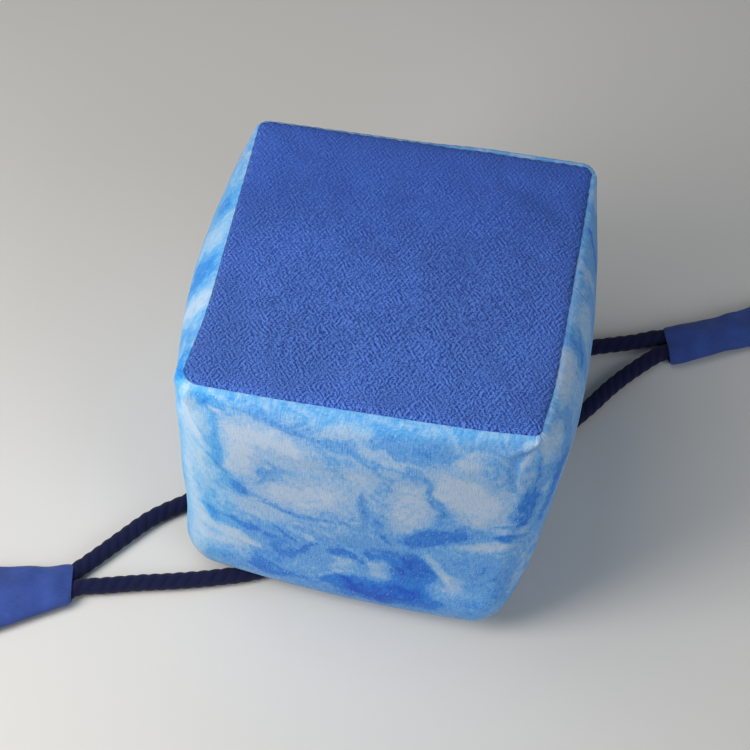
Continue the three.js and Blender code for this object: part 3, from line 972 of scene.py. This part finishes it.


# Areas of dye, wall by wall: across from its middle, down from the seam, half width, half height,
# turn, and how much deeper the dye is, in hundredths (pale is negative).
AREA_COLUMNS = "x y width height turn dye"
# The broad, deeper rows low on each wall, from about 60 down to 84, darken the band towards the bottom where
# it turns under: painted shade over the dye's own pattern.
DYE_AND_PAINTED_LIGHT_AREAS = by_wall(AREA_COLUMNS, front=(
    (-27, 13, 14, 4, 8, -32), (-35, 24, 5.5, 11, 0, -38), (-21, 20, 12, 6, 20, -20),
    (-15, 37, 13, 8, -10, -33), (-29, 51, 10, 4.5, 8, -20), (0, 25, 5, 7, 0, -25), (-4, 6, 6, 2.5, 0, -28),
    (6, 14, 7, 2.5, 12, -25), (15, 36, 6, 14, -4, -32), (32, 31, 16, 8, 50, -42), (31, 12, 4, 5, 0, -30),
    (-38, 69, 12, 2.6, 14, -45), (-42, 74, 8, 3, 4, -30), (-34, 62, 13, 2, 14, 22), (-1, 73, 5, 6, 20, -20),
    (11, 72, 8, 3, 68, -28), (28, 66, 9, 2.4, 52, -42), (45, 74, 8, 14, 10, 20), (42, 54, 7, 2.6, 0, -30),
    (-50, 40, 6, 60, 0, -36), (-6, 66, 34, 9, 4, 20), (8, 84, 36, 8, 0, 24), (-24, 7.4, 15, 0.7, 14, 20),
    (2, 14.5, 13, 0.8, 18, 20), (-41, 22, 1.9, 17, 0, 26), (-44, 4.6, 4.6, 2.3, 15, 30),
    (-40.4, 7.2, 1.3, 0.9, 30, -50), (-49, 13, 9, 0.8, 60, 34), (-45, 28, 8, 0.9, 52, 30),
    (-51, 13, 2.4, 9, -28, -30), (-47, 46, 3, 7, -20, 22), (-45, 58, 2.2, 12, -20, 30),
    # By the near-right corner's fold, the pale strip at 46.5 across lies along its ridge as painted
    # highlight, and the deeper strip at 48 lies along the trough beneath as painted shadow.
    (47, 9, 1.6, 8, 26, -30), (46.5, 3.6, 6, 1.3, -35, -30), (48, 6.6, 5.5, 1.2, -35, 25),
    (12, 58, 16, 6, 0, 12), (50, 16, 1.2, 12, 12, 24), (-36, 42, 5, 3, 45, 38), (-25, 32, 7, 3.5, 20, 17),
    (13, 8, 12, 5, 12, 20), (22, 31, 13, 1.9, 76, 30), (2, 38, 14, 1, 80, 26), (7, 48, 10, 1, 66, 24),
    (-16, 48.5, 18, 0.9, 1, 30), (26, 50, 13, 5, -14, 42), (2, 66, 9, 2.4, -6, 26), (4, 65, 7, 0.8, 40, -28),
    (-7, 79, 8, 0.9, -35, -26), (2, 80, 10, 0.8, 30, 25), (-14, 66, 9, 0.8, -50, 28),
    (-21, 60, 8, 0.8, 40, 24), (-12, 60, 7, 1, 14, -22), (21, 69, 8, 10, 0, 44), (14, 82, 20, 5, 4, 36),
    (-24, 76, 9, 5, -60, 26), (37, 79, 8, 9, -20, -12), (36, 64, 9, 5, 0, 16), (-30, 84, 16, 4, 0, 20),
    # The deeper line at 43 across follows a trough of the near-right fold: painted shadow.
    (46, 50, 7, 1.5, 10, 40), (46, 43.5, 5, 1.2, -8, 30), (49, 34, 4, 10, 8, 40), (43, 14, 1.2, 12, 0, 20),
), left=(
    (17, 8, 4, 9, 10, -40), (5, 8, 6, 8, 20, 40), (27, 9, 2, 12, 20, 22), (35, 5, 5, 2.5, 20, 30),
    (46, 5, 6.5, 5.5, 0, 30), (43, 1.2, 10, 1.2, 0, 30), (-6, 7, 3.4, 7, 24, -26), (-18, 6, 5, 5, 20, 34),
    (-12, 22, 26, 8, 8, 16), (14, 40, 26, 7, -24, -36), (-20, 34, 20, 6, 32, -34), (-36, 52, 9, 16, 20, -30),
    (30, 62, 16, 5, 18, -34), (-4, 52, 24, 3, 16, 30), (-20, 64, 20, 7, -12, 32), (14, 80, 26, 6, 6, 34),
    (36, 34, 2, 18, 24, 28), (-38, 24, 14, 1.6, 62, 30), (-30, 84, 9, 3, 30, -30),
), right=(
    (-24, 4, 9, 5, 0, -32), (-46, 7, 8, 7, 10, -28), (-35, 15, 4, 9, 30, 14), (-12, 8, 4, 9, 10, 26),
    (-3, 8, 4, 5, 0, -24), (24, 8, 20, 9, 0, 10), (37, 6, 3, 5, 30, -24), (22, 8, 2, 9, 24, 28),
    (11, 6, 3, 6, 12, -20), (-38, 26, 16, 5, 20, 28), (-46, 34, 3, 12, 14, 34), (-20, 42, 18, 8, 20, -32),
    (-18, 55, 16, 4, 0, 35), (26, 34, 20, 8, -30, -32), (4, 66, 28, 5, 14, 30), (34, 62, 14, 7, 40, -30),
    (-30, 76, 18, 6, -14, 34), (24, 82, 18, 5, 6, 34), (0, 30, 1.8, 20, 20, 28), (40, 20, 16, 1.6, 64, 28),
    (-8, 78, 10, 3, 30, -30),
), back=(
    (-30, 20, 22, 6, 25, -36), (-8, 10, 18, 3, -20, -30), (18, 26, 20, 7, -35, -34),
    (36, 50, 16, 6, 60, -30), (-34, 54, 14, 9, -40, -30), (4, 50, 14, 10, 10, -28),
    (-14, 38, 26, 1.6, 28, 30), (14, 40, 24, 1.4, -50, 28), (2, 66, 30, 4, -8, 34), (-28, 78, 18, 6, 12, 34),
    (30, 74, 16, 8, -10, 36), (40, 24, 3, 20, 10, 30), (-46, 34, 3, 22, -8, 30), (8, 80, 10, 3, 40, -34),
))

# Where the dye is a lighter, greener blue. On the left wall and the front's left edge, which face the key
# lamp, this is partly the dye's hue and partly painted light.
SKY_AND_PAINTED_LIGHT_AREAS = by_wall(AREA_COLUMNS, front=(
    (-52, 44, 16, 60, 0, 75), (-2, 1, 62, 4.5, 0, 40),
), left=(
    (0, 40, 50, 60, 0, 60),
), back=(
    (-14, 44, 30, 30, 0, 40),
))


# The band's attributes: name, value off every area, how strong its areas are, and the areas.
DYES = (("dye", 0.45, 0.75, DYE_AND_PAINTED_LIGHT_AREAS), ("sky", 0.1, 1.0, SKY_AND_PAINTED_LIGHT_AREAS))
AREA_EDGE = 2.5  # how firm an area's edge is
LOOSE_EDGE = 9.0  # how much farther the edges wander off the front wall
OFF_FRONT, OFF_SEAM = (54.0, 74.0), (8.0, 24.0)  # where that comes, across and down


def area_share(points, across, drop, areas):
    """The sum of soft areas over the band, their edges wandering as wet dye does, most off the front."""
    loose = LOOSE_EDGE * smoothstep(np.abs(across), *OFF_FRONT) * smoothstep(drop, *OFF_SEAM)
    across, drop = (
        place + layered(points, ((loose, 26.0, seed), (2.4, 9.0, seed), (1.2, 3.2, seed)))
        for place, seed in ((across, 11.3), (drop, 17.9)))
    share = np.zeros(across.shape)
    for area in areas:
        x = across - WALL_MIDDLES[area["wall"]] - area["x"]
        x = (x + 2 * SIDE_WIDTH) % (4 * SIDE_WIDTH) - 2 * SIDE_WIDTH
        y = drop - area["y"]
        turn = math.radians(area["turn"])
        u = (x * math.cos(turn) + y * math.sin(turn)) / area["width"]
        v = (y * math.cos(turn) - x * math.sin(turn)) / area["height"]
        share += area["dye"] / 100 * np.exp(-((u**2 + v**2) ** AREA_EDGE))
    return share


FIRST_RING, LAST_RING, RING_GAP = 4.2, 47.6, 1.3  # the panel's rings inside PANEL_LEVELS
EDGE_REACH = 2.4  # how far in from the edge the seam's puckers die away
EDGE_DRAW = 0.2  # how far they draw the edge in
UNDER_INSET = 30.0  # how far in the hidden ring under the panel is


class BAG_OT_panel(bpy.types.Operator):
    """Lay the crepe base panel, its edge turned down into the seam"""

    bl_idname = "teaware_bag.panel"
    bl_label = "Base panel"

    def execute(self, context):
        sizes = context.scene.bag_sizes
        insets = np.append([inset for inset, _ in PANEL_LEVELS], np.arange(FIRST_RING, LAST_RING, RING_GAP))
        heights = np.interp(insets, *zip(*PANEL_LEVELS))
        top = np.array([self.ring(inset, z) for inset, z in zip(insets, heights)])
        edge = np.exp(-insets / EDGE_REACH)[:, None]
        draw = puckers(np.cumsum(ring_gaps(top[0])), sizes)
        top[..., 2] += layered(top, PANEL_UNEVEN)
        top[..., 2] += self.puffed(top[..., :2]) * smoothstep(insets, *CROWN_FROM)[:, None]
        top[..., 2] -= sizes.pucker / MM * draw[None, :] * edge
        outward = (top[:, :, :2] - PANEL_MIDDLE) / 50.0
        uneven = layered(top, EDGE_UNEVEN)
        top[:, :, :2] += outward * ((uneven - EDGE_DRAW * draw[None, :]) * edge)[..., None]
        under = np.array([self.ring(*PANEL_UNDER), self.ring(UNDER_INSET, PANEL_UNDER[1])])
        whole = np.concatenate((top[::-1], under))
        piece = closed_rings("crepe_panel", whole, False)
        dress(piece, crepe_finish(context.scene.bag_colours), "base_panel")
        return {"FINISHED"}

    def puffed(self, flat):
        """How far the padded panel stands above its flat shape: its crown, and its soft folds."""
        share = ((flat - PANEL_MIDDLE) / PANEL_HALF) ** 2
        rise = PANEL_CROWN * (1 - np.minimum(share.max(axis=-1), 1))
        for fold in PANEL_FOLDS:
            _, aside, beyond = beside(flat, (fold["x0"], fold["y0"]), (fold["x1"], fold["y1"]))
            rise += fold["rise"] * np.exp(-(aside**2 + beyond**2) / fold["width"] ** 2)
        return rise

    def ring(self, inset, z):
        corner = max(PANEL_CORNER - inset / 3, LEAST_CORNER)
        return rounded_square(PANEL_HALF[0] - inset, PANEL_HALF[1] - inset, 0.1, corner, z=z, finer=2)


# Soft lamps, all pointing at LAMP_AIM: place, size, strength in watts and colour.
LAMPS = table("name place size watts colour", (
    ("key", (-285, -205, 300), 240, 1.3, (1.0, 0.98, 0.96)),
    ("fill", (520, -420, 440), 500, 1.95, (0.82, 0.91, 1.0)),
    ("top", (-190, -60, 560), 400, 1.0, (1.0, 1.0, 1.0)),
))
LAMP_AIM = (0, 0, 50)
FLOOR_WIDTH = 6.0  # in metres
WORLD_COLOUR = (0.86, 0.89, 0.93, 1.0)
WORLD_STRENGTH = 0.15


class BAG_OT_stage(bpy.types.Operator):
    """Lay the pale floor and hang the soft lamps"""

    bl_idname = "teaware_bag.stage"
    bl_label = "Stage"

    def execute(self, context):
        scene = context.scene
        bpy.ops.object.select_all(action="DESELECT")
        bpy.ops.mesh.primitive_plane_add(size=FLOOR_WIDTH, location=(0, 0, -0.02 * MM))
        floor = context.active_object
        floor.name = "floor"
        floor.data.materials.append(floor_finish(scene.bag_colours))
        for lamp in LAMPS:
            data = bpy.data.lights.new(lamp["name"], "AREA")
            data.shape = "DISK"
            data.size = lamp["size"] * MM
            data.energy = lamp["watts"]
            data.color = lamp["colour"]
            light = placed(lamp["name"], data)
            light.location = Vector(lamp["place"]) * MM
            towards = Vector(LAMP_AIM) * MM - light.location
            light.rotation_euler = towards.to_track_quat("-Z", "Y").to_euler()
        world = bpy.data.worlds.new("studio")
        world.use_nodes = True
        sky = world.node_tree.nodes["Background"]
        sky.inputs["Color"].default_value = WORLD_COLOUR
        sky.inputs["Strength"].default_value = WORLD_STRENGTH
        scene.world = world
        scene.view_settings.view_transform = "Standard"
        return {"FINISHED"}


class BAG_OT_declare(bpy.types.Operator):
    """Work out the line of each drawcord strand; nothing is kept or stated"""

    bl_idname = "teaware_bag.declare"
    bl_label = "State the cords and tabs"

    def execute(self, context):
        for node in STRAND_ROUTES:
            line = strand_line(node)
        return {"FINISHED"}


class BAG_PT_panel(bpy.types.Panel):
    """Lists the steps that make the bag"""

    bl_idname = "BAG_PT_panel"
    bl_label = "Teaware bag"
    bl_space_type = "VIEW_3D"
    bl_region_type = "UI"
    bl_category = "Teaware bag"

    def draw(self, context):
        for step in STEPS:
            self.layout.operator("teaware_bag." + step)
        for group in (context.scene.bag_sizes, context.scene.bag_colours):
            for name in group.__annotations__:
                self.layout.prop(group, name)


STEPS = ("camera", "cords", "tabs", "band", "panel", "declare", "stage")
CLASSES = (BagSizes, BagColours, BAG_OT_camera, BAG_OT_cords, BAG_OT_tabs, BAG_OT_band, BAG_OT_panel,
           BAG_OT_declare, BAG_OT_stage, BAG_PT_panel)


def register():
    for each in CLASSES:
        bpy.utils.register_class(each)
    bpy.types.Scene.bag_sizes = PointerProperty(type=BagSizes)
    bpy.types.Scene.bag_colours = PointerProperty(type=BagColours)


def unregister():
    del bpy.types.Scene.bag_sizes
    del bpy.types.Scene.bag_colours
    for each in reversed(CLASSES):
        bpy.utils.unregister_class(each)


def main():
    register()
    for step in STEPS:
        getattr(bpy.ops.teaware_bag, step)()


if __name__ == "__main__":
    main()
